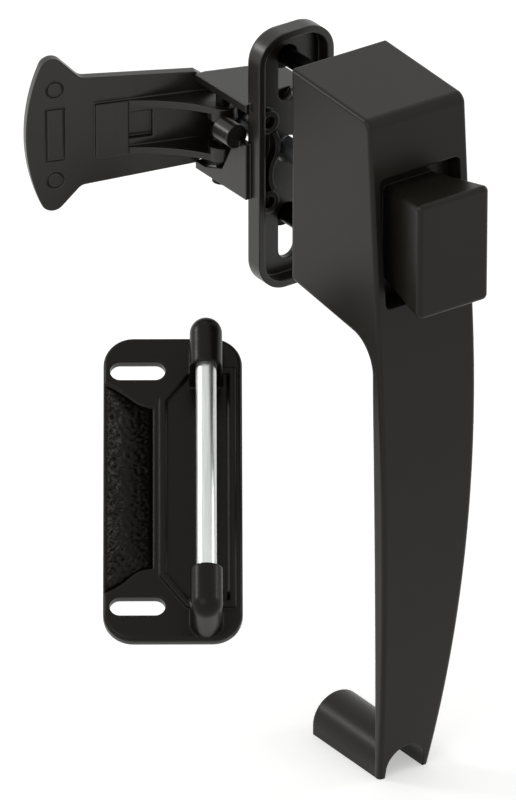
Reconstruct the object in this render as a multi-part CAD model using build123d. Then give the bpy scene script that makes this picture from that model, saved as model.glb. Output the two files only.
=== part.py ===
from build123d import *
import os
from math import cos, radians, sin, tan

# Push button latch for a storm door: outside pull handle with a sprung button,
# inside latch with a rocking lever, and the strike that the latch closes on.
# X runs to the right seen from outside, Y runs into the house, Z is up.
# The origin is midway between the two mounting screws, on the door's outer face.
# All lengths are millimetres.

# Door and fixing
DOOR_THICKNESS = 15.9
SCREW_SPACING = 38.1
SCREW_R = 2.05
SCREW_HEAD_R = 3.4
SCREW_HEAD_H = 2.2
SCREW_BITE = 8.0
DRIVER_SLOT_W = 1.1
HEAD_DOME_SHARE = 0.6
CUT_OVER = 1.0

# Handle casting
SCREW_TO_TOP = 8.15
SCREW_TO_BOTTOM = 4.25
BOX_HALF_W = 12.7
TOP_DEPTH = 28.6
TOP_FALL = 1.4
FRONT_DEPTH = 32.5
FRONT_BREAK_DROP = 1.6
BOTTOM_DEPTH = 29.8
BOTTOM_FALL = 3.9
STRAP_CORNER_R = 8.0
STRAP_BACK_DROP = 22.7
STRAP_TIP_Z = -137.9
STRAP_TIP_DEPTH = 25.2
STRAP_TIP_T = 2.2
STRAP_TIP_HALF_W = 6.6
HANDLE_EDGE_R = 0.9
TOP_EDGE_R = 2.5
BACK_CORNER_R = 1.5
HANDLE_SIDE_WALL = 1.4
HANDLE_END_WALL = 2.2
BOX_INNER_DEPTH = 26.0
POST_R = 3.5
POST_SHOULDER_R = 4.6
FOOT_LEG = 2.4
FOOT_WALL = 1.5

# Button
BUTTON_HALF_W = 9.35
BUTTON_TOP = 10.6
BUTTON_BOTTOM = -16.9
BUTTON_FRONT = 42.4
BUTTON_EDGE_R = 1.3
BUTTON_WALL = 2.0
BUTTON_SIDE_WALL = 1.4
BUTTON_FLARE = 2.6
BUTTON_SIDE_GAP = 1.1
BUTTON_TOP_GAP = 1.5
FLANGE_LAP = 0.6
FLANGE_T = 2.0
BUTTON_TRAVEL = 4.5
RUN_GAP = 0.3
FRONT_EDGE_SHARE = 0.8
ROD_R = 2.5
ROD_SEAT_R = 4.6
ROD_SEAT_H = 6.0
ROD_PLAY = 0.7
SPRING_R = 4.3
SPRING_WIRE_R = 0.45
SPRING_TURNS = 8

# Keeper plate behind the button
KEEPER_T = 1.2
KEEPER_Y = -11.0
KEEPER_HALF_W = 8.0
PUSH_NUT_R = 5.2
PUSH_NUT_T = 0.6
FIT_GAP = 0.05

# Inside latch
PLATE_DROP = 3.95
PLATE_HALF_W = 9.85
PLATE_END = 4.9
PLATE_CORNER_R = 7.0
PLATE_DEPTH = 5.0
PLATE_WALL = 1.6
SLOT_HALF_W = 2.45
CHEEK_TOP = 10.2
CHEEK_BOTTOM = -12.6
CHEEK_T = 1.8
CHEEK_LEFT = -11.0
CHEEK_RIGHT = 7.0
STOP_PEG_R = 2.7
STOP_PEG_Z = 2.0
STOP_PEG_L = 5.5
RIB_T = 1.2
PLATE_RIM_SHARE = 0.7

# Lever
PIVOT_X = -8.6
PIVOT_Y = 31.5
PIN_R = 1.5
PIN_HEAD_R = 2.4
PIN_HEAD_H = 0.8
PIN_COVER = 0.6
HUB_R = 3.3
LEVER_LEAN = 19.0
LEVER_OFFSET = 9.8
LEVER_T = 2.2
LEVER_ROOT_S = 4.0
LEVER_ROOT_HALF_H = 11.0
NECK_S = 29.8
NECK_HALF_H = 12.9
NECK_R = 2.5
TAIL_S = 37.0
TAIL_HALF_H = 20.3
TAIL_END_S = 42.2
TAIL_TIP_R = 2.8
FIN_TOP_SHARE = 0.65
CHANNEL_HALF_H = 6.4
CHANNEL_WALL = 1.5
CHANNEL_END_S = 26.7
RECESS_NEAR_S = 13.7
RECESS_FAR_S = 19.3
RECESS_FLOOR_T = 0.8
NOSE_REACH = 27.0
NOSE_HALF_H = 5.0
NOSE_T = 6.0
NOSE_L = 8.0
NOSE_BEVEL_SHARE = 0.6
PAD_T = 1.0
KNUCKLE_H = 3.2
MARK_T = 0.4
MARK_R = 2.0
MARK_FRAME_L = 4.4
COIL_WIRE_R = 0.4
COIL_TURNS = 4

# Strike
STRIKE_AT = (-48.0, -6.0, -62.0)
STRIKE_TURN = -34.8
STRIKE_LEAN = 53.4
STRIKE_W = 30.0
STRIKE_H = 72.0
STRIKE_T = 2.4
STRIKE_CORNER_R = 6.5
STRIKE_SLOT_X = -7.6
STRIKE_SLOT_Y = 28.0
STRIKE_SLOT_L = 12.0
STRIKE_SLOT_W = 4.4
STRIKE_PIN_X = 7.2
STRIKE_PIN_H = 12.5
STRIKE_PIN_R = 2.25
STRIKE_PIN_BITE = 4.0
STRIKE_CLEAR_H = 24.0
CAP_R = 3.5
CAP_L = 8.0
STRIKE_RIDGE_W = 1.5
STRIKE_RIDGE_T = 0.9
TROUGH_W = 8.6
TROUGH_RISE = 3.0
TROUGH_CORNER_DROP = 3.5
PANEL_GAP = 1.3
PANEL_SLOT_GAP = 0.8
PANEL_DEPTH = 0.4

# Worked out from the sizes above
BOX_TOP = SCREW_SPACING / 2 + SCREW_TO_TOP
BOX_BOTTOM = -SCREW_SPACING / 2 - SCREW_TO_BOTTOM
FRONT_BREAK_Z = BOX_BOTTOM - FRONT_BREAK_DROP
STRAP_BACK_Z = BOX_BOTTOM - STRAP_BACK_DROP
FOOT_R = STRAP_TIP_HALF_W - FIT_GAP
# The slots take both screws with the plate hung lower than their middle
SLOT_INNER = SCREW_SPACING / 2 - PLATE_DROP - SLOT_HALF_W - RUN_GAP
SLOT_OUTER = SCREW_SPACING / 2 + PLATE_DROP + SLOT_HALF_W + RUN_GAP
PLATE_HALF_H = SLOT_OUTER + PLATE_END
PLATE_Y = DOOR_THICKNESS
FLOOR_Y = PLATE_Y + PLATE_DEPTH - PLATE_WALL
CHEEK_Y = PLATE_Y + PLATE_DEPTH
TROUGH_LEFT = STRIKE_PIN_X - TROUGH_W
TROUGH_CORNER_H = STRIKE_CLEAR_H - TROUGH_CORNER_DROP
BUTTON_Z = (BUTTON_TOP + BUTTON_BOTTOM) / 2
BUTTON_H = BUTTON_TOP - BUTTON_BOTTOM
CHEEK_Z = (CHEEK_TOP + CHEEK_BOTTOM) / 2
POCKET_HALF_W = BUTTON_HALF_W + BUTTON_SIDE_GAP
POCKET_TOP = BUTTON_TOP + BUTTON_TOP_GAP
POCKET_BOTTOM = BUTTON_BOTTOM - BUTTON_SIDE_GAP
FLANGE_FRONT = BOX_INNER_DEPTH - RUN_GAP
FLANGE_PRESSED_Y = -FLANGE_FRONT + FLANGE_T + BUTTON_TRAVEL
KEEPER_SEAT = KEEPER_Y - KEEPER_T
LEVER_DIR = (-cos(radians(LEVER_LEAN)), sin(radians(LEVER_LEAN)), 0)
LEVER_IN = (sin(radians(LEVER_LEAN)), cos(radians(LEVER_LEAN)), 0)
# Lever plane: s runs out along the paddle, h is up, and the normal faces the door
LEVER_PLANE = Plane(
    origin=(PIVOT_X + LEVER_IN[0] * LEVER_OFFSET, PIVOT_Y + LEVER_IN[1] * LEVER_OFFSET, CHEEK_Z),
    x_dir=LEVER_DIR,
    z_dir=(-LEVER_IN[0], -LEVER_IN[1], 0),
)
ROD_TIP_Y = PIVOT_Y + (LEVER_OFFSET - LEVER_T + PIVOT_X * LEVER_IN[0]) / LEVER_IN[1] - ROD_PLAY


def block(x0, x1, y0, y1, z0, z1):
    """Box between two opposite corners."""
    middle = Pos((x0 + x1) / 2, (y0 + y1) / 2, (z0 + z1) / 2)
    return middle * Box(abs(x1 - x0), abs(y1 - y0), abs(z1 - z0))


def rod_y(radius, y0, y1, x=0.0, z=0.0):
    """Cylinder along Y from y0 to y1."""
    return Pos(x, (y0 + y1) / 2, z) * Rot(90, 0, 0) * Cylinder(radius, abs(y1 - y0))


def rod_z(radius, z0, z1, x=0.0, y=0.0):
    """Cylinder along Z from z0 to z1."""
    return Pos(x, y, (z0 + z1) / 2) * Cylinder(radius, abs(z1 - z0))


def at_y(sketch, y):
    """Stand a sketch drawn in (X, Z) up at this Y."""
    return Plane(origin=(0, y, 0), x_dir=(1, 0, 0), z_dir=(0, -1, 0)) * sketch


def across_y(sketch, y0, y1):
    """Extrude a sketch drawn in (X, Z) from y0 to y1."""
    return extrude(at_y(sketch, y0), y0 - y1)


def handle_side():
    """Side view of the handle in (Y, Z): box on top, strap curving down to its tip."""
    top_back = (0, BOX_TOP)
    top_front = (-TOP_DEPTH, BOX_TOP - TOP_FALL)
    front_break = (-FRONT_DEPTH, FRONT_BREAK_Z)
    tip_front = (-STRAP_TIP_DEPTH, STRAP_TIP_Z)
    tip_back = (-STRAP_TIP_DEPTH + STRAP_TIP_T, STRAP_TIP_Z)
    strap_back = (-BOTTOM_DEPTH, STRAP_BACK_Z)
    corner = (-BOTTOM_DEPTH, BOX_BOTTOM - BOTTOM_FALL)
    front = Line(top_front, front_break)
    outline = Line(top_back, top_front) + front
    outline += TangentArc(front_break, tip_front, tangent=front % 1)
    outline += Line(tip_front, tip_back)
    outline += TangentArc(strap_back, tip_back, tangent=(0, -1))
    outline += Line(strap_back, corner)
    outline += Line(corner, (0, BOX_BOTTOM))
    outline += Line((0, BOX_BOTTOM), top_back)
    side = make_face(outline)
    rounded = (
        (corner, STRAP_CORNER_R),
        (top_front, TOP_EDGE_R),
        ((0, BOX_BOTTOM), BACK_CORNER_R),
    )
    for (y, z), radius in rounded:
        vertex = side.vertices().sort_by_distance((y, z, 0))[0]
        side = fillet(vertex, radius)
    return side


def handle_front():
    """Front view of the handle in (X, Z): parallel box, strap narrowing to its tip."""
    right = Line((BOX_HALF_W, BOX_TOP), (BOX_HALF_W, FRONT_BREAK_Z))
    outline = right + TangentArc(right @ 1, (STRAP_TIP_HALF_W, STRAP_TIP_Z), tangent=right % 1)
    outline += Line((STRAP_TIP_HALF_W, STRAP_TIP_Z), (0, STRAP_TIP_Z))
    outline += Line((0, STRAP_TIP_Z), (0, BOX_TOP))
    outline += Line((0, BOX_TOP), (BOX_HALF_W, BOX_TOP))
    half = make_face(outline)
    return half + mirror(half, Plane.YZ)


def post(sign, y_front, web_to):
    """Screw post with a shoulder for the keeper plate and a web to the nearest wall."""
    z = sign * SCREW_SPACING / 2
    body = rod_y(POST_R, y_front, 0, z=z)
    body += rod_y(POST_SHOULDER_R, y_front, KEEPER_SEAT, z=z)
    return body + block(-POST_R, POST_R, y_front, KEEPER_SEAT, z, web_to)


def make_handle():
    side = extrude(Plane.YZ * handle_side(), BOX_HALF_W * 2, both=True)
    front = across_y(handle_front(), CUT_OVER, -2 * FRONT_DEPTH)
    body = side & front
    long_edges = body.edges().filter_by(lambda e: e.length > STRAP_CORNER_R * 3)
    outer = long_edges.filter_by(lambda e: e.center().Y < -TOP_DEPTH / 3)
    rims = outer.filter_by(lambda e: abs(e.center().X) > STRAP_TIP_HALF_W)
    body = fillet(rims, HANDLE_EDGE_R)
    half_in = BOX_HALF_W - HANDLE_SIDE_WALL
    z_in = (BOX_BOTTOM + HANDLE_END_WALL, BOX_TOP - HANDLE_END_WALL)
    body -= block(-half_in, half_in, -BOX_INNER_DEPTH, CUT_OVER, *z_in)
    pocket_h = POCKET_TOP - POCKET_BOTTOM
    pocket = RectangleRounded(2 * POCKET_HALF_W, pocket_h, BUTTON_EDGE_R)
    pocket = Pos(0, POCKET_BOTTOM + pocket_h / 2) * pocket
    body -= across_y(pocket, 0, -2 * FRONT_DEPTH)
    body += post(1, -BOX_INNER_DEPTH, z_in[1])
    body += post(-1, FLANGE_PRESSED_Y + RUN_GAP, z_in[0])
    for sign in (1, -1):
        z = sign * SCREW_SPACING / 2
        body -= rod_y(SCREW_R, CUT_OVER, KEEPER_SEAT - SCREW_BITE / 2, z=z)
    return body + make_foot()


def foot_arch(radius, y0, y1, low):
    """Bar along Y with a round top and straight legs down to this height."""
    spring = STRAP_TIP_Z + FOOT_LEG
    arch = rod_y(radius, y0, y1, z=spring) & block(-radius, radius, y0, y1, spring, spring + radius)
    return arch + block(-radius, radius, y0, y1, low, spring)


def make_foot():
    """Arched foot on legs from the strap's tip back to the door, before its hollow is cut."""
    depth = STRAP_TIP_DEPTH - STRAP_TIP_T / 2
    return foot_arch(FOOT_R, -depth, 0, STRAP_TIP_Z)


def foot_notch():
    """Hollow of the foot, cut through the strap's tip."""
    return foot_arch(FOOT_R - FOOT_WALL, -2 * STRAP_TIP_DEPTH, CUT_OVER, STRAP_TIP_Z - CUT_OVER)


def make_button():
    z = BUTTON_Z
    neck_w = 2 * (BUTTON_HALF_W - BUTTON_FLARE)
    neck_h = BUTTON_H - 2 * BUTTON_FLARE
    front = at_y(Pos(0, z) * Rectangle(2 * BUTTON_HALF_W, BUTTON_H), -BUTTON_FRONT)
    neck = at_y(Pos(0, z) * Rectangle(neck_w, neck_h), -FLANGE_FRONT)
    head = loft([front, neck], ruled=True)
    corners = head.edges().filter_by(lambda e: abs((e % 0).Y) > abs((e % 0).X) + abs((e % 0).Z))
    head = fillet(corners, BUTTON_EDGE_R)
    head = fillet(head.faces().sort_by(Axis.Y)[0].edges(), BUTTON_EDGE_R * FRONT_EDGE_SHARE)
    lap = BUTTON_SIDE_GAP + FLANGE_LAP - RUN_GAP
    flange_w = 2 * (BUTTON_HALF_W + lap)
    flange_top = POCKET_TOP + FLANGE_LAP
    flange_bottom = POCKET_BOTTOM - FLANGE_LAP
    flange = Pos(0, (flange_top + flange_bottom) / 2) * Rectangle(flange_w, flange_top - flange_bottom)
    flange = across_y(flange, -FLANGE_FRONT + FLANGE_T, -FLANGE_FRONT)
    hollow = Pos(0, z) * Rectangle(neck_w - 2 * BUTTON_SIDE_WALL, neck_h - 2 * BUTTON_SIDE_WALL)
    hollow = across_y(hollow, 0, -BUTTON_FRONT + BUTTON_WALL)
    button = head + flange - hollow
    seat_y = -BUTTON_FRONT + BUTTON_WALL
    button += rod_y(ROD_SEAT_R, seat_y - BUTTON_WALL / 2, seat_y + ROD_SEAT_H, z=z)
    return button - rod_y(ROD_R, seat_y, 0, z=z)


def make_push_rod():
    """Plain rod from the button through the door, with a round tip at the lever."""
    y0 = -BUTTON_FRONT + BUTTON_WALL
    body = rod_y(ROD_R, y0, ROD_TIP_Y - ROD_R, z=BUTTON_Z)
    return body + Pos(0, ROD_TIP_Y - ROD_R, BUTTON_Z) * Sphere(ROD_R)


def make_button_spring():
    """Compression spring between the button's seat and the keeper plate."""
    y0 = -BUTTON_FRONT + BUTTON_WALL + ROD_SEAT_H + SPRING_WIRE_R
    length = KEEPER_SEAT - SPRING_WIRE_R - y0
    path = Helix(length / SPRING_TURNS, length, SPRING_R)
    section = Plane(path @ 0, z_dir=path % 0) * Circle(SPRING_WIRE_R)
    coil = sweep(section, path=path, is_frenet=True)
    return Pos(0, y0, BUTTON_Z) * Rot(-90, 0, 0) * coil


def make_keeper():
    """Steel keeper plate on the shoulders of both screw posts, forked round the lower one."""
    top = BOX_TOP - HANDLE_END_WALL - RUN_GAP
    low = BOX_BOTTOM + HANDLE_END_WALL + RUN_GAP
    plate = Pos(0, (top + low) / 2) * Rectangle(2 * KEEPER_HALF_W, top - low)
    plate = fillet(plate.vertices(), KEEPER_T)
    fork = POST_R + FIT_GAP
    for z in (SCREW_SPACING / 2, -SCREW_SPACING / 2):
        plate -= Pos(0, z) * Circle(fork)
    plate -= Pos(0, low - SCREW_SPACING / 4) * Rectangle(2 * fork, SCREW_SPACING / 2 + 2 * RUN_GAP)
    plate -= Pos(0, BUTTON_Z) * Circle(ROD_R + RUN_GAP)
    return across_y(plate, KEEPER_Y, KEEPER_SEAT)


def make_push_nut():
    """Spring steel ring that grips the upper post and holds the keeper plate."""
    ring = Circle(PUSH_NUT_R) - Circle(POST_R)
    return across_y(Pos(0, SCREW_SPACING / 2) * ring, KEEPER_Y + PUSH_NUT_T, KEEPER_Y)


def make_screws():
    """The two machine screws, put in from the inside plate."""
    solids = []
    for sign in (1, -1):
        z = sign * SCREW_SPACING / 2
        shank = rod_y(SCREW_R, -SCREW_BITE, CHEEK_Y, z=z)
        head = rod_y(SCREW_HEAD_R, CHEEK_Y, CHEEK_Y + SCREW_HEAD_H, z=z)
        head = fillet(head.faces().sort_by(Axis.Y)[-1].edges(), SCREW_HEAD_H * HEAD_DOME_SHARE)
        top = CHEEK_Y + SCREW_HEAD_H
        half_slot = DRIVER_SLOT_W / 2
        head -= block(-SCREW_HEAD_R, SCREW_HEAD_R, top - DRIVER_SLOT_W, top, z - half_slot, z + half_slot)
        solids.append(shank + head)
    return Compound(children=solids)


def cheek(z0, z1):
    """One cheek: left edge straight back, rear edge parallel to the lever."""
    rear = PIVOT_Y + LEVER_OFFSET - LEVER_T - ROD_PLAY
    slope = tan(radians(LEVER_LEAN))
    points = [
        (CHEEK_LEFT, FLOOR_Y),
        (CHEEK_RIGHT, FLOOR_Y),
        (CHEEK_RIGHT, rear - (CHEEK_RIGHT - PIVOT_X) * slope),
        (PIVOT_X, rear),
        (CHEEK_LEFT, rear),
    ]
    outline = make_face(Polyline(*points, close=True))
    return extrude(Pos(0, 0, z0) * outline, z1 - z0)


def make_housing():
    z = -PLATE_DROP
    outer = Pos(0, z) * RectangleRounded(2 * PLATE_HALF_W, 2 * PLATE_HALF_H, PLATE_CORNER_R)
    inner = offset(outer, -PLATE_WALL)
    body = across_y(outer, CHEEK_Y, PLATE_Y)
    body = fillet(body.faces().sort_by(Axis.Y)[-1].edges(), PLATE_WALL * PLATE_RIM_SHARE)
    body -= across_y(inner, FLOOR_Y, PLATE_Y - CUT_OVER)
    body += cheek(CHEEK_TOP - CHEEK_T, CHEEK_TOP)
    body += cheek(CHEEK_BOTTOM, CHEEK_BOTTOM + CHEEK_T)
    for sign in (1, -1):
        middle = z + sign * (SLOT_INNER + SLOT_OUTER) / 2
        slot = SlotOverall(SLOT_OUTER - SLOT_INNER, 2 * SLOT_HALF_W, rotation=90)
        body -= across_y(Pos(0, middle) * slot, CHEEK_Y + CUT_OVER, PLATE_Y - CUT_OVER)
        boss = Circle(STOP_PEG_R) - Circle(STOP_PEG_R - RIB_T)
        boss_x = -PLATE_HALF_W + STOP_PEG_R + PLATE_WALL / 2
        boss_z = z + sign * (SLOT_INNER - STOP_PEG_R)
        body += across_y(Pos(boss_x, boss_z) * boss, FLOOR_Y, PLATE_Y + RIB_T)
    body += side_wall()
    body += s_rib()
    body -= rod_y(ROD_R + 2 * RUN_GAP, PLATE_Y, CHEEK_Y + CUT_OVER, z=BUTTON_Z)
    return body - rod_z(PIN_R, CHEEK_BOTTOM - CUT_OVER, CHEEK_TOP - PIN_COVER, PIVOT_X, PIVOT_Y)


def side_wall():
    """Low wall on the left of the lower cheek, with the round stop peg above it."""
    low = CHEEK_BOTTOM
    top = STOP_PEG_Z - STOP_PEG_R / 2
    rear = PIVOT_Y + HUB_R
    under_fin = CHEEK_Z - CHANNEL_HALF_H - 3 * RUN_GAP
    front = CHEEK_Y + STOP_PEG_R
    outline = Line((FLOOR_Y, low), (rear, low))
    outline += Line((rear, low), (rear, low + CHEEK_T))
    outline += Line((rear, low + CHEEK_T), (PIVOT_Y - HUB_R, under_fin))
    outline += Line((PIVOT_Y - HUB_R, under_fin), (front, top))
    outline += Line((front, top), (FLOOR_Y, top))
    outline += Line((FLOOR_Y, top), (FLOOR_Y, low))
    face = Plane(origin=(CHEEK_LEFT, 0, 0), x_dir=(0, 1, 0), z_dir=(1, 0, 0)) * make_face(outline)
    wall = extrude(face, PLATE_WALL)
    peg_x = CHEEK_LEFT - PLATE_WALL / 2
    peg_y = CHEEK_Y + PLATE_WALL / 2
    return wall + rod_y(STOP_PEG_R, peg_y, peg_y + STOP_PEG_L, peg_x, STOP_PEG_Z)


def s_rib():
    """Snaking stiffener rib in the plate's hollow, beside the push rod's hole."""
    z = -PLATE_DROP
    x = -PLATE_HALF_W / 2
    reach = SLOT_INNER - 2 * STOP_PEG_R
    upper = RadiusArc((x, z + reach), (x, z), reach)
    lower = RadiusArc((x, z), (x, z - reach), -reach)
    path = Wire([upper.edge(), lower.edge()])
    rib = trace(path, RIB_T)
    return across_y(rib, FLOOR_Y, PLATE_Y + RIB_T)


def lever_sketch():
    """Paddle outline in the lever plane: nose arm, root, neck and flared tail."""
    upper = [
        (-NOSE_REACH, NOSE_HALF_H),
        (-LEVER_ROOT_S, NOSE_HALF_H),
        (LEVER_ROOT_S, LEVER_ROOT_HALF_H),
        (NECK_S, NECK_HALF_H),
        (TAIL_S, TAIL_HALF_H),
    ]
    lower = [(s, -h) for s, h in reversed(upper)]
    outline = Polyline(*upper) + ThreePointArc(upper[-1], (TAIL_END_S, 0), lower[0])
    outline += Polyline(*lower, upper[0])
    paddle = make_face(outline)
    tips = paddle.vertices().filter_by(lambda v: v.X > (NECK_S + TAIL_S) / 2)
    paddle = fillet(tips, TAIL_TIP_R)
    necks = paddle.vertices().filter_by(lambda v: abs(v.X - NECK_S) < FIT_GAP)
    return fillet(necks, NECK_R)


def lever_flange():
    """Side view of a lever flange in (s, t): a fin that sweeps up to the hub."""
    fin = Line((CHANNEL_END_S, LEVER_T / 2), (-HUB_R, LEVER_T / 2))
    fin_top = (HUB_R * FIN_TOP_SHARE, LEVER_OFFSET + HUB_R * FIN_TOP_SHARE)
    sweep_up = TangentArc((CHANNEL_END_S, LEVER_T), fin_top, tangent=(-1, 0))
    outline = fin + Line(fin @ 0, sweep_up @ 0) + sweep_up
    outline += Line(sweep_up @ 1, (-HUB_R, LEVER_OFFSET))
    outline += Line((-HUB_R, LEVER_OFFSET), fin @ 1)
    return make_face(outline)


def on_lever(s, t, h):
    """Place an object at (s, t, h): along the paddle, towards the door, up."""
    return LEVER_PLANE * Pos(s, h, t)


def make_lever():
    lever = extrude(LEVER_PLANE * lever_sketch(), LEVER_T)
    pad_s = (RECESS_FAR_S + CHANNEL_END_S) / 2
    pad_l = CHANNEL_END_S - RECESS_FAR_S
    lever += on_lever(pad_s, LEVER_T, 0) * Box(pad_l, 2 * CHANNEL_HALF_H, 2 * PAD_T)
    side = Plane(origin=(0, 0, 0), x_dir=(1, 0, 0), z_dir=(0, -1, 0)) * lever_flange()
    hub_h = 2 * CHANNEL_HALF_H - 2 * KNUCKLE_H
    for sign in (1, -1):
        fin_h = CHANNEL_WALL / 2 + sign * (CHANNEL_HALF_H - CHANNEL_WALL / 2)
        lever += LEVER_PLANE * extrude(Pos(0, fin_h, 0) * side, CHANNEL_WALL)
        knuckle = sign * (CHANNEL_HALF_H - KNUCKLE_H / 2)
        lever += Pos(PIVOT_X, PIVOT_Y, CHEEK_Z + knuckle) * Cylinder(HUB_R, KNUCKLE_H)
    recess_s = (RECESS_NEAR_S + RECESS_FAR_S) / 2
    recess = Box(RECESS_FAR_S - RECESS_NEAR_S, hub_h, 2 * LEVER_T)
    lever -= on_lever(recess_s, RECESS_FLOOR_T + LEVER_T, 0) * recess
    nose_s = NOSE_L / 2 - NOSE_REACH
    nose = on_lever(nose_s, NOSE_T / 2, 0) * Box(NOSE_L, 2 * NOSE_HALF_H, NOSE_T)
    bevel = nose.edges().filter_by(Axis.Z).sort_by(Axis.Y)[0]
    lever += chamfer(bevel, NOSE_T * NOSE_BEVEL_SHARE, NOSE_L * NOSE_BEVEL_SHARE)
    lever -= rod_z(PIN_R + FIT_GAP, CHEEK_BOTTOM, CHEEK_TOP, PIVOT_X, PIVOT_Y)
    return lever - lever_marks()


def lever_marks():
    """Shallow moulding marks on the tail: a framed rectangle and two round pin marks."""
    s = (NECK_S + TAIL_END_S) / 2 - MARK_T
    frame = Box(MARK_FRAME_L, 2 * CHANNEL_HALF_H, 2 * MARK_T)
    frame -= Box(MARK_FRAME_L - 2 * MARK_T, 2 * CHANNEL_HALF_H - 2 * MARK_T, 4 * MARK_T)
    marks = on_lever(s, LEVER_T, 0) * frame
    for sign in (1, -1):
        ring = Cylinder(MARK_R, 2 * MARK_T) - Cylinder(MARK_R - MARK_T, 4 * MARK_T)
        marks += on_lever(s, LEVER_T, sign * (NECK_HALF_H - MARK_R)) * ring
    return marks


def make_hinge_pin():
    """Steel hinge pin, put in from below: headed under the lower cheek, blind in the upper."""
    head = rod_z(PIN_HEAD_R, CHEEK_BOTTOM - PIN_HEAD_H, CHEEK_BOTTOM, PIVOT_X, PIVOT_Y)
    return head + rod_z(PIN_R, CHEEK_BOTTOM - PIN_HEAD_H, CHEEK_TOP - PIN_COVER, PIVOT_X, PIVOT_Y)


def make_return_spring():
    """Torsion spring on the hinge pin, one leg on the lever and one on the plate."""
    height = COIL_TURNS * (2 * COIL_WIRE_R + FIT_GAP)
    radius = PIN_R + FIT_GAP + 2 * COIL_WIRE_R
    path = Helix(height / COIL_TURNS, height, radius)
    spring = sweep(Plane(path @ 0, z_dir=path % 0) * Circle(COIL_WIRE_R), path=path, is_frenet=True)
    plate_leg = PIVOT_Y - CHEEK_Y - COIL_WIRE_R
    lever_leg = LEVER_OFFSET - LEVER_T - ROD_PLAY
    for end, length in ((0, -plate_leg), (1, lever_leg)):
        spring += extrude(Plane(path @ end, z_dir=path % end) * Circle(COIL_WIRE_R), length)
    return Pos(PIVOT_X, PIVOT_Y, CHEEK_Z - height / 2) * spring


def strike_plane():
    """Plane of the strike's back face, leaning back as it lies beside the latch."""
    turn = radians(STRIKE_TURN)
    lean = radians(STRIKE_LEAN)
    normal = (sin(turn) * cos(lean), -cos(turn) * cos(lean), sin(lean))
    return Plane(origin=STRIKE_AT, x_dir=(cos(turn), sin(turn), 0), z_dir=normal)


def strike_post(sign):
    """Post that holds one end of the pin: rounded cap on a web up from the plate."""
    inner = sign * STRIKE_CLEAR_H
    outer = sign * (STRIKE_CLEAR_H + CAP_L)
    middle = (inner + outer) / 2
    cap = Pos(STRIKE_PIN_X, middle, STRIKE_PIN_H) * Rot(90, 0, 0) * Cylinder(CAP_R, CAP_L)
    cap += Pos(STRIKE_PIN_X, outer, STRIKE_PIN_H) * Sphere(CAP_R)
    web = Pos(STRIKE_PIN_X, middle, STRIKE_PIN_H / 2) * Box(2 * CAP_R, CAP_L, STRIKE_PIN_H)
    web += Pos(STRIKE_PIN_X, outer, STRIKE_PIN_H / 2) * Cylinder(CAP_R, STRIKE_PIN_H)
    return cap + web


def strike_panel():
    """Grained panel left of the ridge, curving in from the plate's edge round the slots."""
    left = -STRIKE_W / 2 - CUT_OVER
    right = TROUGH_LEFT - STRIKE_RIDGE_W - PANEL_GAP
    outer = STRIKE_SLOT_Y - STRIKE_SLOT_W / 2 - PANEL_SLOT_GAP
    inner = TROUGH_CORNER_H - PANEL_GAP
    outline = Spline((left, outer), (right, inner), tangents=((1, 0), (1, 0)))
    outline += Line((right, inner), (right, -inner))
    outline += Spline((right, -inner), (left, -outer), tangents=((-1, 0), (-1, 0)))
    outline += Line((left, -outer), (left, outer))
    return make_face(outline)


def make_strike_plate():
    plate = extrude(RectangleRounded(STRIKE_W, STRIKE_H, STRIKE_CORNER_R), STRIKE_T)
    plate = fillet(plate.faces().sort_by(Axis.Z)[-1].edges(), STRIKE_RIDGE_T)
    plate -= extrude(Pos(0, 0, STRIKE_T - PANEL_DEPTH) * strike_panel(), STRIKE_T)
    right = STRIKE_W / 2 - 2 * STRIKE_RIDGE_W
    shoulder = STRIKE_PIN_X - CAP_R
    end = STRIKE_CLEAR_H + TROUGH_RISE
    trough = make_face(Polyline(
        (TROUGH_LEFT, TROUGH_CORNER_H),
        (shoulder, end),
        (right, end),
        (right, -end),
        (shoulder, -end),
        (TROUGH_LEFT, -TROUGH_CORNER_H),
        close=True,
    ))
    ridge = offset(trough, STRIKE_RIDGE_W, kind=Kind.INTERSECTION) - trough
    ridge = ridge & Rectangle(STRIKE_W - STRIKE_RIDGE_W, STRIKE_H)
    plate += extrude(Pos(0, 0, STRIKE_T) * ridge, STRIKE_RIDGE_T)
    for sign in (1, -1):
        plate += strike_post(sign)
        slot = SlotOverall(STRIKE_SLOT_L, STRIKE_SLOT_W)
        plate -= extrude(Pos(STRIKE_SLOT_X, sign * STRIKE_SLOT_Y, -CUT_OVER) * slot, 2 * STRIKE_T)
    plate -= Pos(STRIKE_PIN_X, 0, STRIKE_PIN_H) * Rot(90, 0, 0) * Cylinder(
        STRIKE_PIN_R, 2 * (STRIKE_CLEAR_H + STRIKE_PIN_BITE))
    return strike_plane() * plate


def make_strike_pin():
    pin = Rot(90, 0, 0) * Cylinder(STRIKE_PIN_R, 2 * (STRIKE_CLEAR_H + STRIKE_PIN_BITE))
    return strike_plane() * Pos(STRIKE_PIN_X, 0, STRIKE_PIN_H) * pin


parts = {
    "handle_body": make_handle() - foot_notch(),
    "push_button": make_button(),
    "push_rod": make_push_rod(),
    "button_spring": make_button_spring(),
    "keeper_plate": make_keeper(),
    "push_nut": make_push_nut(),
    "mounting_screws": make_screws(),
    "latch_housing": make_housing(),
    "latch_lever": make_lever(),
    "hinge_pin": make_hinge_pin(),
    "return_spring": make_return_spring(),
    "strike_plate": make_strike_plate(),
    "strike_pin": make_strike_pin(),
}

os.makedirs("parts", exist_ok=True)
for node, shape in parts.items():
    export_step(shape, f"parts/{node}.step")
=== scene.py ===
import math

import bmesh
import bpy
from bpy.props import FloatProperty, FloatVectorProperty, IntProperty, PointerProperty
from mathutils import Matrix, Vector, noise


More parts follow.
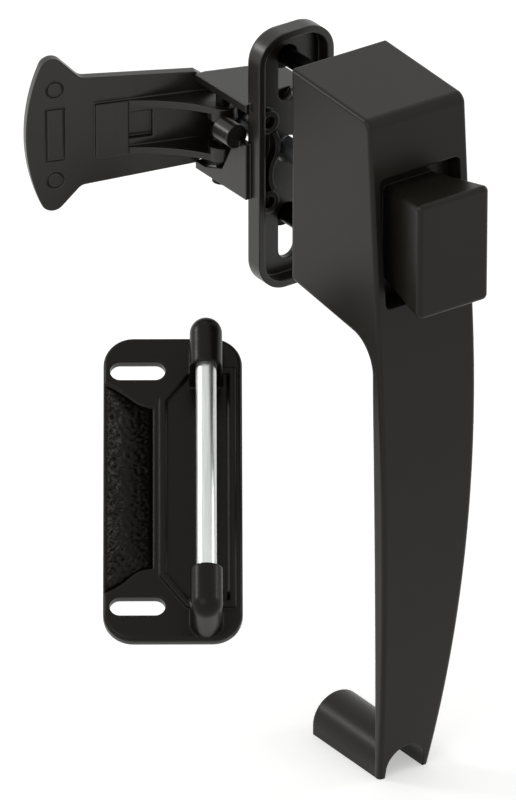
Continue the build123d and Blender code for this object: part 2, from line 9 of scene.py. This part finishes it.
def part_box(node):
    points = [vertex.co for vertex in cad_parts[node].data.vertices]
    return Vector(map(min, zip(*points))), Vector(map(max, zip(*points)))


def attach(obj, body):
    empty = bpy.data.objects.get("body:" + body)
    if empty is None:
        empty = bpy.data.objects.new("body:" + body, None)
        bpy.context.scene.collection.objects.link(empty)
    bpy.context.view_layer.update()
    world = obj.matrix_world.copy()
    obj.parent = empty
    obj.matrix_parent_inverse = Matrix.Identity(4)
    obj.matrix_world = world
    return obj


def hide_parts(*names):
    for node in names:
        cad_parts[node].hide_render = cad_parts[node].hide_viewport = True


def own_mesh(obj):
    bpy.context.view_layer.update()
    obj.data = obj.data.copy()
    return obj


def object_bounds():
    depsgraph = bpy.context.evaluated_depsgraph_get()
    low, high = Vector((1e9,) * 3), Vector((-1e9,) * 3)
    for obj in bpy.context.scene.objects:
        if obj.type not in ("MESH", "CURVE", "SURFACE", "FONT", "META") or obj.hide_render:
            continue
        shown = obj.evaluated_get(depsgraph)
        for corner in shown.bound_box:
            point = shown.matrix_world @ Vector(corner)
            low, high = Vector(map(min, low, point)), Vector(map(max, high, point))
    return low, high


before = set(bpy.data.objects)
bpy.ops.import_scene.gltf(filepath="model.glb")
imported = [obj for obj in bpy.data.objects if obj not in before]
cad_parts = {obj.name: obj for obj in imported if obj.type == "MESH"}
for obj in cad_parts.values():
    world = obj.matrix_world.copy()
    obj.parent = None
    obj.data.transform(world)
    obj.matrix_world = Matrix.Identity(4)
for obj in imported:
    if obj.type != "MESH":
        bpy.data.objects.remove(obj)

# Looks for the storm door latch: finishes for its solids, the button's spring,
# the grained panel on the strike, and the studio. Everything is in metres, in
# the solids' frame.

bl_info = {
    "name": "Storm door latch finishes",
    "version": (1, 0, 0),
    "blender": (4, 5, 0),
    "location": "View3D > Sidebar > Latch",
    "description": "Finishes, spring, strike panel and studio for a push button storm door latch",
    "category": "Object",
}

CAD_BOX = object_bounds()
MM = 0.001

# The strike's own plane and the recess for its panel, as in the part's source
STRIKE_AT = Vector((-48.0, -6.0, -62.0)) * MM
STRIKE_TURN = math.radians(-34.8)
STRIKE_LEAN = math.radians(53.4)
RECESS_FLOOR = 2.0 * MM
RECESS_LEFT = -14.85 * MM
RECESS_RIGHT = -4.2 * MM
RECESS_OUTER = 25.0 * MM
RECESS_INNER = 19.2 * MM
# The curve of the recess starts this far left, outside the plate
CURVE_LEFT = -16.0 * MM

# A colour mix's sockets: the factor and two colours in, and the colour out
MIX_FACTOR, MIX_DARK, MIX_PALE, MIX_OUT = 0, 6, 7, 2

# Radius of the round that edges show, softer on the strike, and the rays that find it
EDGE_ROUND = 0.5 * MM
STRIKE_ROUND = 0.9 * MM
EDGE_SAMPLES = 8
# How strongly the grain tilts the light, and how high it stands on each finish
GRAIN_STRENGTH = 0.3
COAT_RELIEF = 0.04 * MM
NYLON_RELIEF = 0.015 * MM
STEEL_RELIEF = 0.01 * MM
# Octaves of the noise in coats and steel, in nylon, and in the drift of their tone
FINE_DETAIL = 3.0
FIBRE_DETAIL = 1.0
DRIFT_DETAIL = 2.0
# Refraction of the coat and of the nylon
COAT_IOR = 1.5
NYLON_IOR = 1.53
# How far roughness strays either side of a finish's own value
ROUGH_SPREAD = 0.06
# Length of the slow drift of tone over coats and mouldings
COAT_DRIFT = 25.0 * MM
NYLON_DRIFT = 12.0 * MM
# Drawn or ground lines are this much longer than they are wide
LINE_STRETCH = (1.0, 0.03, 1.0)

# The panel's pebbles: how fast finer ones fade, how much finer each is, and how many sizes
PEBBLE_FADE = 1.0
PEBBLE_STEP = 2.0
PEBBLE_SIZES = 3

# Fineness of the spring's mesh
STEPS_PER_TURN = 32
WIRE_SIDES = 12

# The lamps' places from the camera's aim
KEY_PLACE = Vector((-1.0, -0.35, 0.75))
FILL_PLACE = Vector((1.2, -0.4, 0.52))
RIM_PLACE = Vector((-0.8, 0.9, 0.62))
# Half the floor's side
FLOOR_HALF = 20.0
# Width of the camera's sensor in millimetres, as its lens is given
SENSOR_MM = 36.0


def strike_matrix():
    """Matrix from the strike's own axes to the frame: Y along the pin, Z off the plate."""
    across = Vector((math.cos(STRIKE_TURN), math.sin(STRIKE_TURN), 0))
    flat = math.cos(STRIKE_LEAN)
    off = Vector((math.sin(STRIKE_TURN) * flat, -math.cos(STRIKE_TURN) * flat, math.sin(STRIKE_LEAN)))
    along = off.cross(across)
    turn = Matrix((across, along, off)).transposed().to_4x4()
    return Matrix.Translation(STRIKE_AT) @ turn


def linear(code):
    """Linear RGBA from an sRGB hex colour, by the sRGB curve."""
    code = code.lstrip("#")
    parts = [int(code[i:i + 2], 16) / 255 for i in (0, 2, 4)]
    return [c / 12.92 if c <= 0.04045 else ((c + 0.055) / 1.055) ** 2.4 for c in parts] + [1.0]


def cells(size):
    """Texture scale that gives a pattern cells of this size."""
    return 1.0 / size


def held(value):
    """The value, held between 0 and 1."""
    return max(0.0, min(1.0, value))


def add(tree, kind, values=None, links=None, **settings):
    """Add a node, set its sockets and settings, and link sockets from (node, output)."""
    node = tree.nodes.new(kind)
    for key, value in settings.items():
        setattr(node, key, value)
    for key, value in (values or {}).items():
        node.inputs[key].default_value = value
    for key, (source, output) in (links or {}).items():
        tree.links.new(source.outputs[output], node.inputs[key])
    return node


def new_material(name):
    """Empty node material and its tree."""
    material = bpy.data.materials.new(name)
    material.use_nodes = True
    material.node_tree.nodes.clear()
    return material, material.node_tree


def surface(tree, grain, drift, tones, rough, relief, values, round_off=EDGE_ROUND):
    """One finish: tone follows the drift, gloss and relief follow the grain."""
    dark, pale = tones
    colour = add(
        tree, "ShaderNodeMix", {MIX_DARK: dark, MIX_PALE: pale}, {MIX_FACTOR: (drift, "Fac")},
        data_type="RGBA",
    )
    gloss = add(
        tree, "ShaderNodeMapRange", {"To Min": rough - ROUGH_SPREAD, "To Max": rough + ROUGH_SPREAD},
        {"Value": (grain, "Fac")},
    )
    # Cast, moulded and plated edges are never knife sharp: a small round catches the light
    edge = add(tree, "ShaderNodeBevel", {"Radius": round_off}, samples=EDGE_SAMPLES)
    bump = add(
        tree, "ShaderNodeBump", {"Strength": GRAIN_STRENGTH, "Distance": relief},
        {"Height": (grain, "Fac"), "Normal": (edge, "Normal")},
    )
    shader = add(
        tree, "ShaderNodeBsdfPrincipled", values,
        {"Base Color": (colour, MIX_OUT), "Roughness": (gloss, "Result"), "Normal": (bump, "Normal")},
    )
    add(tree, "ShaderNodeOutputMaterial", links={"Surface": (shader, "BSDF")})


def powder_coat(name, look, tones, rough, sheen, round_off=EDGE_ROUND):
    """Zinc casting, powder coated black."""
    # Fine orange peel softens every highlight, so the eye reads a satin coat
    material, tree = new_material(name)
    at = {"Vector": (add(tree, "ShaderNodeTexCoord"), "Object")}
    grit = add(tree, "ShaderNodeTexNoise", {"Scale": cells(look.coat_grit), "Detail": FINE_DETAIL}, at)
    drift = add(tree, "ShaderNodeTexNoise", {"Scale": cells(COAT_DRIFT), "Detail": DRIFT_DETAIL}, at)
    values = {"IOR": COAT_IOR, "Specular IOR Level": sheen}
    surface(tree, grit, drift, tones, rough, COAT_RELIEF, values, round_off)
    return material


def moulded_nylon(look):
    """Glass filled nylon, moulded black."""
    # Smoother than the coat: edges catch crisp lines of light, and the grain is faint.
    # Real fibres are finer than a pixel, so the grain is drawn coarser
    material, tree = new_material("nylon_moulded_black")
    at = {"Vector": (add(tree, "ShaderNodeTexCoord"), "Object")}
    fibre = add(
        tree, "ShaderNodeTexNoise", {"Scale": cells(look.nylon_fibre), "Detail": FIBRE_DETAIL}, at)
    flow = add(tree, "ShaderNodeTexNoise", {"Scale": cells(NYLON_DRIFT), "Detail": DRIFT_DETAIL}, at)
    tones = (look.nylon_dark, look.nylon_pale)
    values = {"IOR": NYLON_IOR, "Specular IOR Level": look.nylon_sheen}
    surface(tree, fibre, flow, tones, look.nylon_roughness, NYLON_RELIEF, values)
    return material


def steel(name, tones, rough, line, turn=(0.0, 0.0, 0.0)):
    """Steel with fine lines along Y of the turned axes."""
    # The lines stretch highlights across them, which the eye reads as drawn or ground metal.
    # Real ones are finer than a pixel, so they are drawn coarser
    material, tree = new_material(name)
    coords = add(tree, "ShaderNodeTexCoord")
    turned = add(tree, "ShaderNodeMapping", {"Rotation": turn}, {"Vector": (coords, "Object")})
    drawn = add(tree, "ShaderNodeMapping", {"Scale": LINE_STRETCH}, {"Vector": (turned, "Vector")})
    at = {"Vector": (drawn, "Vector")}
    lines = add(tree, "ShaderNodeTexNoise", {"Scale": cells(line), "Detail": FINE_DETAIL}, at)
    surface(tree, lines, lines, tones, rough, STEEL_RELIEF, {"Metallic": 1.0})
    return material


def dress(material, *nodes):
    """Give a material to the solids with these names."""
    for name in nodes:
        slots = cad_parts[name].data.materials
        slots.clear()
        slots.append(material)


class LatchFinish(bpy.types.PropertyGroup):
    """Colours and surface sizes of the finishes."""

    coat_dark: FloatVectorProperty(
        name="Coat dark", description="Darker tone of the coat",
        default=linear("#181511"), size=4, subtype="COLOR")
    coat_pale: FloatVectorProperty(
        name="Coat pale", description="Paler tone of the coat",
        default=linear("#201d18"), size=4, subtype="COLOR")
    coat_roughness: FloatProperty(
        name="Coat roughness", description="Roughness of the coat",
        default=0.34, min=0.1, max=0.9, subtype="FACTOR")
    coat_sheen: FloatProperty(
        name="Coat sheen", description="Specular level of the handle's coat",
        default=0.19, min=0.0, max=1.0, subtype="FACTOR")
    coat_grit: FloatProperty(
        name="Coat grit", description="Size of the coat's orange peel",
        default=0.5 * MM, min=0.1 * MM, unit="LENGTH")
    strike_dark: FloatVectorProperty(
        name="Strike dark", description="Darker tone of the strike's coat",
        default=linear("#0d0b07"), size=4, subtype="COLOR")
    strike_pale: FloatVectorProperty(
        name="Strike pale", description="Paler tone of the strike's coat",
        default=linear("#14100b"), size=4, subtype="COLOR")
    strike_roughness: FloatProperty(
        name="Strike roughness", description="Roughness of the strike's coat",
        default=0.3, min=0.1, max=0.9, subtype="FACTOR")
    strike_sheen: FloatProperty(
        name="Strike sheen", description="Specular level of the strike's coat",
        default=0.155, min=0.0, max=1.0, subtype="FACTOR")
    panel_sheen: FloatProperty(
        name="Panel sheen", description="Specular level of the strike's grained panel",
        default=0.1, min=0.0, max=1.0, subtype="FACTOR")
    nylon_dark: FloatVectorProperty(
        name="Nylon dark", description="Darker tone of the nylon",
        default=linear("#0e0b08"), size=4, subtype="COLOR")
    nylon_pale: FloatVectorProperty(
        name="Nylon pale", description="Paler tone of the nylon",
        default=linear("#17130e"), size=4, subtype="COLOR")
    nylon_roughness: FloatProperty(
        name="Nylon roughness", description="Roughness of the nylon",
        default=0.31, min=0.1, max=0.9, subtype="FACTOR")
    nylon_sheen: FloatProperty(
        name="Nylon sheen", description="Specular level of the nylon",
        default=0.4, min=0.0, max=1.0, subtype="FACTOR")
    nylon_fibre: FloatProperty(
        name="Nylon fibre", description="Size of the nylon's grain",
        default=1.0 * MM, min=0.1 * MM, unit="LENGTH")
    pin_dark: FloatVectorProperty(
        name="Pin dark", description="Darker tone of the pin's ground steel",
        default=linear("#b4b8b5"), size=4, subtype="COLOR")
    pin_pale: FloatVectorProperty(
        name="Pin pale", description="Paler tone of the pin's ground steel",
        default=linear("#e6e9e6"), size=4, subtype="COLOR")
    pin_roughness: FloatProperty(
        name="Pin roughness", description="Roughness of the pin",
        default=0.3, min=0.1, max=0.9, subtype="FACTOR")
    pin_line: FloatProperty(
        name="Pin line", description="Width of the pin's grinding lines",
        default=0.3 * MM, min=0.1 * MM, unit="LENGTH")
    zinc_dark: FloatVectorProperty(
        name="Zinc dark", description="Darker tone of the zinc plating",
        default=linear("#8c8f92"), size=4, subtype="COLOR")
    zinc_pale: FloatVectorProperty(
        name="Zinc pale", description="Paler tone of the zinc plating",
        default=linear("#b5b8ba"), size=4, subtype="COLOR")
    oxide_dark: FloatVectorProperty(
        name="Oxide dark", description="Darker tone of the black oxide",
        default=linear("#121212"), size=4, subtype="COLOR")
    oxide_pale: FloatVectorProperty(
        name="Oxide pale", description="Paler tone of the black oxide",
        default=linear("#222221"), size=4, subtype="COLOR")
    plating_roughness: FloatProperty(
        name="Plating roughness", description="Roughness of plated and blackened steel",
        default=0.38, min=0.1, max=0.9, subtype="FACTOR")
    drawn_line: FloatProperty(
        name="Drawn line", description="Width of drawing lines on small steel pieces",
        default=0.5 * MM, min=0.1 * MM, unit="LENGTH")


class LatchPanel(bpy.types.PropertyGroup):
    """Sizes of the grained panel in the strike's recess."""

    grain: FloatProperty(
        name="Grain", description="Size of one pebble of the grain",
        default=0.75 * MM, min=0.3 * MM, unit="LENGTH")
    relief: FloatProperty(
        name="Relief", description="Height of the grain",
        default=0.36 * MM, min=0.05 * MM, unit="LENGTH")
    base: FloatProperty(
        name="Base", description="Thickness of the panel under its grain",
        default=0.05 * MM, min=0.02 * MM, unit="LENGTH")
    margin: FloatProperty(
        name="Margin", description="Gap from the panel to the edge of its recess",
        default=0.2 * MM, min=0.05 * MM, unit="LENGTH")
    step: FloatProperty(
        name="Step", description="Spacing of the panel's mesh",
        default=0.2 * MM, min=0.1 * MM, unit="LENGTH")


class LatchSpring(bpy.types.PropertyGroup):
    """Sizes of the button's spring."""

    wire: FloatProperty(
        name="Wire", description="Diameter of the spring's wire",
        default=0.9 * MM, min=0.2 * MM, unit="LENGTH")
    turns: IntProperty(name="Turns", description="Turns of the spring", default=8, min=2, max=20)


class LatchStage(bpy.types.PropertyGroup):
    """Camera, lamps and floor."""

    azimuth: FloatProperty(
        name="Azimuth", description="Camera's turn about Z",
        default=math.radians(-35.07), subtype="ANGLE")
    elevation: FloatProperty(
        name="Elevation", description="Camera's height angle",
        default=math.radians(27.73), subtype="ANGLE")
    distance: FloatProperty(
        name="Distance", description="Camera's distance from its aim",
        default=2.5, min=0.2, unit="LENGTH")
    lens: FloatProperty(
        name="Lens", description="Focal length in millimetres",
        default=523.7, min=20.0, max=2000.0, unit="CAMERA")
    aim: FloatVectorProperty(
        name="Aim", description="Point that the camera looks at",
        default=(-0.0319, -0.015, -0.04045), subtype="TRANSLATION")
    key: FloatProperty(
        name="Key", description="Power of the key lamp, from the left",
        default=3.2, min=0.0, unit="POWER")
    fill: FloatProperty(
        name="Fill", description="Power of the fill lamp, from the right",
        default=1.6, min=0.0, unit="POWER")
    rim: FloatProperty(
        name="Rim", description="Power of the rim lamp, from behind",
        default=3.6, min=0.0, unit="POWER")
    key_size: FloatProperty(
        name="Key size", description="Side of the key lamp",
        default=0.9, min=0.05, unit="LENGTH")
    rim_size: FloatProperty(
        name="Rim size", description="Side of the rim and fill lamps",
        default=0.3, min=0.05, unit="LENGTH")
    surround: FloatProperty(
        name="Surround", description="Strength of the surroundings as light",
        default=0.55, min=0.0, max=1.0, subtype="FACTOR")
    floor_lift: FloatProperty(
        name="Floor lift", description="Light added to the floor as it is seen",
        default=0.42, min=0.0, max=1.0, subtype="FACTOR")
    floor_colour: FloatVectorProperty(
        name="Floor colour", description="Colour of the floor",
        default=linear("#f4f4f2"), size=4, subtype="COLOR")
    white: FloatVectorProperty(
        name="White", description="Colour of the surroundings",
        default=linear("#ffffff"), size=4, subtype="COLOR")


class LATCH_OT_coat_castings(bpy.types.Operator):
    """Powder coat the handle, button and strike plate"""

    bl_idname = "latch.coat_castings"
    bl_label = "Coat castings"

    def execute(self, context):
        look = context.scene.latch_finish
        tones = (look.coat_dark, look.coat_pale)
        satin = powder_coat("zinc_casting_powder_coated", look, tones, look.coat_roughness, look.coat_sheen)
        dress(satin, "handle_body", "push_button")
        tones = (look.strike_dark, look.strike_pale)
        dull = powder_coat(
            "zinc_casting_dull_coated", look, tones,
            look.strike_roughness, look.strike_sheen, STRIKE_ROUND)
        dress(dull, "strike_plate")
        return {"FINISHED"}


class LATCH_OT_mould_lever(bpy.types.Operator):
    """Give the inside plate and lever their moulded nylon"""

    bl_idname = "latch.mould_lever"
    bl_label = "Mould lever and plate"

    def execute(self, context):
        dress(moulded_nylon(context.scene.latch_finish), "latch_housing", "latch_lever")
        return {"FINISHED"}


class LATCH_OT_grind_pin(bpy.types.Operator):
    """Give the strike pin its ground steel"""

    bl_idname = "latch.grind_pin"
    bl_label = "Grind strike pin"

    def execute(self, context):
        look = context.scene.latch_finish
        turn = strike_matrix().to_3x3().inverted().to_euler()
        tones = (look.pin_dark, look.pin_pale)
        dress(steel("steel_ground_bright", tones, look.pin_roughness, look.pin_line, turn), "strike_pin")
        return {"FINISHED"}


class LATCH_OT_plate_hardware(bpy.types.Operator):
    """Zinc plate what works the button, and blacken the screws and the lever's pin and spring"""

    bl_idname = "latch.plate_hardware"
    bl_label = "Plate hardware"

    def execute(self, context):
        look = context.scene.latch_finish
        rough, line = look.plating_roughness, look.drawn_line
        zinc = steel("steel_zinc_plated", (look.zinc_dark, look.zinc_pale), rough, line)
        dress(zinc, "push_rod", "keeper_plate", "push_nut", "button_spring")
        black = steel("steel_black_oxide", (look.oxide_dark, look.oxide_pale), rough, line)
        dress(black, "mounting_screws", "return_spring", "hinge_pin")
        return {"FINISHED"}


def place(mesh, name, material):
    """Make a closed mesh a piece of the fixed body, with this finish."""
    bmesh.ops.recalc_face_normals(mesh, faces=mesh.faces)
    data = bpy.data.meshes.new(name)
    mesh.to_mesh(data)
    mesh.free()
    data.materials.append(material)
    piece = bpy.data.objects.new(name, data)
    bpy.context.scene.collection.objects.link(piece)
    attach(piece, "latch")
    return piece


class LATCH_OT_wind_spring(bpy.types.Operator):
    """Wind the button's spring at its length in the solids; the real spring shortens as the button goes in
    """

    bl_idname = "latch.wind_spring"
    bl_label = "Wind button spring"

    def execute(self, context):
        spring = context.scene.latch_spring
        wire = spring.wire / 2
        low, high = (Vector(corner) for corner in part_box("button_spring"))
        middle = (low + high) / 2
        length = high.y - low.y
        radius = (high.x - low.x) / 2 - wire
        rise = length - 2 * wire
        slope = rise / (2 * math.pi * spring.turns * radius)
        steps = spring.turns * STEPS_PER_TURN
        corners = [2 * math.pi * j / WIRE_SIDES for j in range(WIRE_SIDES)]
        mesh = bmesh.new()
        rings = []
        for i in range(steps + 1):
            angle = 2 * math.pi * i / STEPS_PER_TURN
            out = Vector((math.cos(angle), 0, math.sin(angle)))
            side = Vector((-math.sin(angle), slope, math.cos(angle))).normalized().cross(out)
            centre = Vector((middle.x, low.y + wire + rise * i / steps, middle.z)) + out * radius
            rings.append([
                mesh.verts.new(centre + (out * math.cos(c) + side * math.sin(c)) * wire) for c in corners
            ])
        for ring, after in zip(rings, rings[1:]):
            for j in range(WIRE_SIDES):
                face = mesh.faces.new((ring[j - 1], ring[j], after[j], after[j - 1]))
                face.smooth = True
        mesh.faces.new(rings[0])
        mesh.faces.new(rings[-1])
        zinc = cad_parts["button_spring"].data.materials[0]
        coil = place(mesh, "button_coil", zinc)
        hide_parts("button_spring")
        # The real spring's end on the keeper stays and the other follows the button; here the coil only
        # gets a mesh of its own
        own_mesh(coil)
        return {"FINISHED"}


def recess_half(x):
    """Half the recess's height at x: wide at the plate's edge, curving in past the slots."""
    share = (x - CURVE_LEFT) / (RECESS_RIGHT - CURVE_LEFT)
    smooth = share * share * (3 - 2 * share)
    return RECESS_OUTER + (RECESS_INNER - RECESS_OUTER) * smooth


class LATCH_OT_lay_panel(bpy.types.Operator):
    """Lay the grained panel in the strike's recess"""

    bl_idname = "latch.lay_panel"
    bl_label = "Lay grained panel"

    def execute(self, context):
        panel = context.scene.latch_panel
        left = RECESS_LEFT + panel.margin
        right = RECESS_RIGHT - panel.margin
        columns = round((right - left) / panel.step)
        rows = round(2 * RECESS_OUTER / panel.step)
        mesh = bmesh.new()
        grid = []
        for i in range(columns + 1):
            x = left + (right - left) * i / columns
            half = recess_half(x) - panel.margin
            line = []
            for j in range(rows + 1):
                y = half * (2 * j / rows - 1)
                # The grain dies out over one pebble at the panel's rim
                rim = min(x - left, right - x, half - abs(y)) / panel.grain
                spot = Vector((x, y, 0)) / panel.grain
                pebble = (1 + noise.fractal(spot, PEBBLE_FADE, PEBBLE_STEP, PEBBLE_SIZES)) / 2
                height = panel.relief * held(pebble) * held(rim)
                line.append(mesh.verts.new((x, y, RECESS_FLOOR + panel.base + height)))
            grid.append(line)
        for i in range(columns):
            for j in range(rows):
                face = mesh.faces.new((grid[i][j], grid[i + 1][j], grid[i + 1][j + 1], grid[i][j + 1]))
                face.smooth = True
        # Close the slab: drop its border to the recess's floor and fill that underside
        border = [edge for edge in mesh.edges if edge.is_boundary]
        dropped = bmesh.ops.extrude_edge_only(mesh, edges=border)["geom"]
        for vert in dropped:
            if isinstance(vert, bmesh.types.BMVert):
                vert.co.z = RECESS_FLOOR
        under = [edge for edge in mesh.edges if edge.is_boundary]
        bmesh.ops.contextual_create(mesh, geom=under)
        bmesh.ops.transform(mesh, matrix=strike_matrix(), verts=mesh.verts)
        # The grain scatters the light, so the same coat looks duller here
        look = context.scene.latch_finish
        tones = (look.strike_dark, look.strike_pale)
        grained = powder_coat(
            "zinc_casting_grained_coated", look, tones,
            look.strike_roughness, look.panel_sheen, STRIKE_ROUND)
        place(mesh, "strike_panel", grained)
        return {"FINISHED"}


def lamp(name, power, size, aim, offset):
    """Square soft lamp set off from the aim and facing it."""
    data = bpy.data.lights.new(name, "AREA")
    data.energy = power
    data.size = size
    light = bpy.data.objects.new(name, data)
    light.location = aim + offset
    light.rotation_euler = (-offset).to_track_quat("-Z", "Y").to_euler()
    bpy.context.scene.collection.objects.link(light)


def seen_ray(tree):
    """Light path value that is 1 for camera, glossy and transmission rays."""
    path = add(tree, "ShaderNodeLightPath")
    either = add(
        tree, "ShaderNodeMath", links={0: (path, "Is Camera Ray"), 1: (path, "Is Glossy Ray")},
        operation="MAXIMUM",
    )
    return add(
        tree, "ShaderNodeMath", links={0: (either, "Value"), 1: (path, "Is Transmission Ray")},
        operation="MAXIMUM",
    )


def studio_world(stage):
    """White surroundings: full strength where they are seen, weaker as light."""
    world = bpy.data.worlds.new("studio")
    world.use_nodes = True
    tree = world.node_tree
    tree.nodes.clear()
    level = add(
        tree, "ShaderNodeMapRange", {"To Min": stage.surround, "To Max": 1.0},
        {"Value": (seen_ray(tree), "Value")},
    )
    sky = add(tree, "ShaderNodeBackground", {"Color": stage.white}, {"Strength": (level, "Result")})
    add(tree, "ShaderNodeOutputWorld", links={"Surface": (sky, "Background")})
    return world


def studio_floor(stage):
    """Matt paper floor under the latch, lifted to white where it is seen."""
    low = CAD_BOX[0].z
    corners = [(x * FLOOR_HALF, y * FLOOR_HALF, low) for x, y in ((-1, -1), (1, -1), (1, 1), (-1, 1))]
    mesh = bpy.data.meshes.new("studio_floor")
    mesh.from_pydata(corners, [], [(0, 1, 2, 3)])
    # Paper scatters light evenly, so the eye sees only the latch's soft shadow
    material, tree = new_material("paper_floor_matt")
    matt = add(tree, "ShaderNodeBsdfDiffuse", {"Color": stage.floor_colour})
    lift = add(
        tree, "ShaderNodeMath", {1: stage.floor_lift}, {0: (seen_ray(tree), "Value")},
        operation="MULTIPLY",
    )
    glow = add(tree, "ShaderNodeEmission", {"Color": stage.white}, {"Strength": (lift, "Value")})
    both = add(tree, "ShaderNodeAddShader", links={0: (matt, "BSDF"), 1: (glow, "Emission")})
    add(tree, "ShaderNodeOutputMaterial", links={"Surface": (both, "Shader")})
    mesh.materials.append(material)
    return bpy.data.objects.new("studio_floor", mesh)


def photo_camera(stage):
    """Camera at the photograph's viewing angle, facing the aim."""
    data = bpy.data.cameras.new("photo_camera")
    data.sensor_width = SENSOR_MM
    data.lens = stage.lens
    camera = bpy.data.objects.new("photo_camera", data)
    turn, lift = stage.azimuth, stage.elevation
    flat = math.cos(lift)
    back = Vector((math.sin(turn) * flat, -math.cos(turn) * flat, math.sin(lift)))
    camera.location = Vector(stage.aim) + back * stage.distance
    camera.rotation_euler = (-back).to_track_quat("-Z", "Y").to_euler()
    return camera


class LATCH_OT_set_stage(bpy.types.Operator):
    """Set the floor, lamps, surroundings and camera"""

    bl_idname = "latch.set_stage"
    bl_label = "Set stage"

    def execute(self, context):
        scene = context.scene
        stage = scene.latch_stage
        scene.view_settings.view_transform = "Standard"
        scene.world = studio_world(stage)
        floor = studio_floor(stage)
        scene.collection.objects.link(floor)
        aim = Vector(stage.aim)
        lamp("key", stage.key, stage.key_size, aim, KEY_PLACE)
        lamp("fill", stage.fill, stage.rim_size, aim, FILL_PLACE)
        lamp("rim", stage.rim, stage.rim_size, aim, RIM_PLACE)
        scene.camera = photo_camera(stage)
        scene.collection.objects.link(scene.camera)
        return {"FINISHED"}


OPERATORS = (
    LATCH_OT_coat_castings,
    LATCH_OT_mould_lever,
    LATCH_OT_grind_pin,
    LATCH_OT_plate_hardware,
    LATCH_OT_wind_spring,
    LATCH_OT_lay_panel,
    LATCH_OT_set_stage,
)
GROUPS = {
    "latch_finish": LatchFinish,
    "latch_spring": LatchSpring,
    "latch_panel": LatchPanel,
    "latch_stage": LatchStage,
}


class LATCH_PT_sidebar(bpy.types.Panel):
    """The latch's pieces and stage in the sidebar"""

    bl_label = "Storm door latch"
    bl_space_type = "VIEW_3D"
    bl_region_type = "UI"
    bl_category = "Latch"

    def draw(self, context):
        for operator in OPERATORS:
            self.layout.operator(operator.bl_idname)
        for name, group in GROUPS.items():
            box = self.layout.box()
            for key in group.__annotations__:
                box.prop(getattr(context.scene, name), key)


def register():
    """Add the groups, operators and panel to Blender."""
    for group in GROUPS.values():
        bpy.utils.register_class(group)
    for name, group in GROUPS.items():
        setattr(bpy.types.Scene, name, PointerProperty(type=group))
    for item in (*OPERATORS, LATCH_PT_sidebar):
        bpy.utils.register_class(item)


def unregister():
    """Take the panel, operators and groups out of Blender again."""
    for item in reversed((*OPERATORS, LATCH_PT_sidebar)):
        bpy.utils.unregister_class(item)
    for name in GROUPS:
        delattr(bpy.types.Scene, name)
    for group in reversed(tuple(GROUPS.values())):
        bpy.utils.unregister_class(group)


def main():
    """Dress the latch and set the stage."""
    register()
    bpy.ops.latch.coat_castings()
    bpy.ops.latch.mould_lever()
    bpy.ops.latch.grind_pin()
    bpy.ops.latch.plate_hardware()
    bpy.ops.latch.wind_spring()
    bpy.ops.latch.lay_panel()
    bpy.ops.latch.set_stage()


if __name__ == "__main__":
    main()
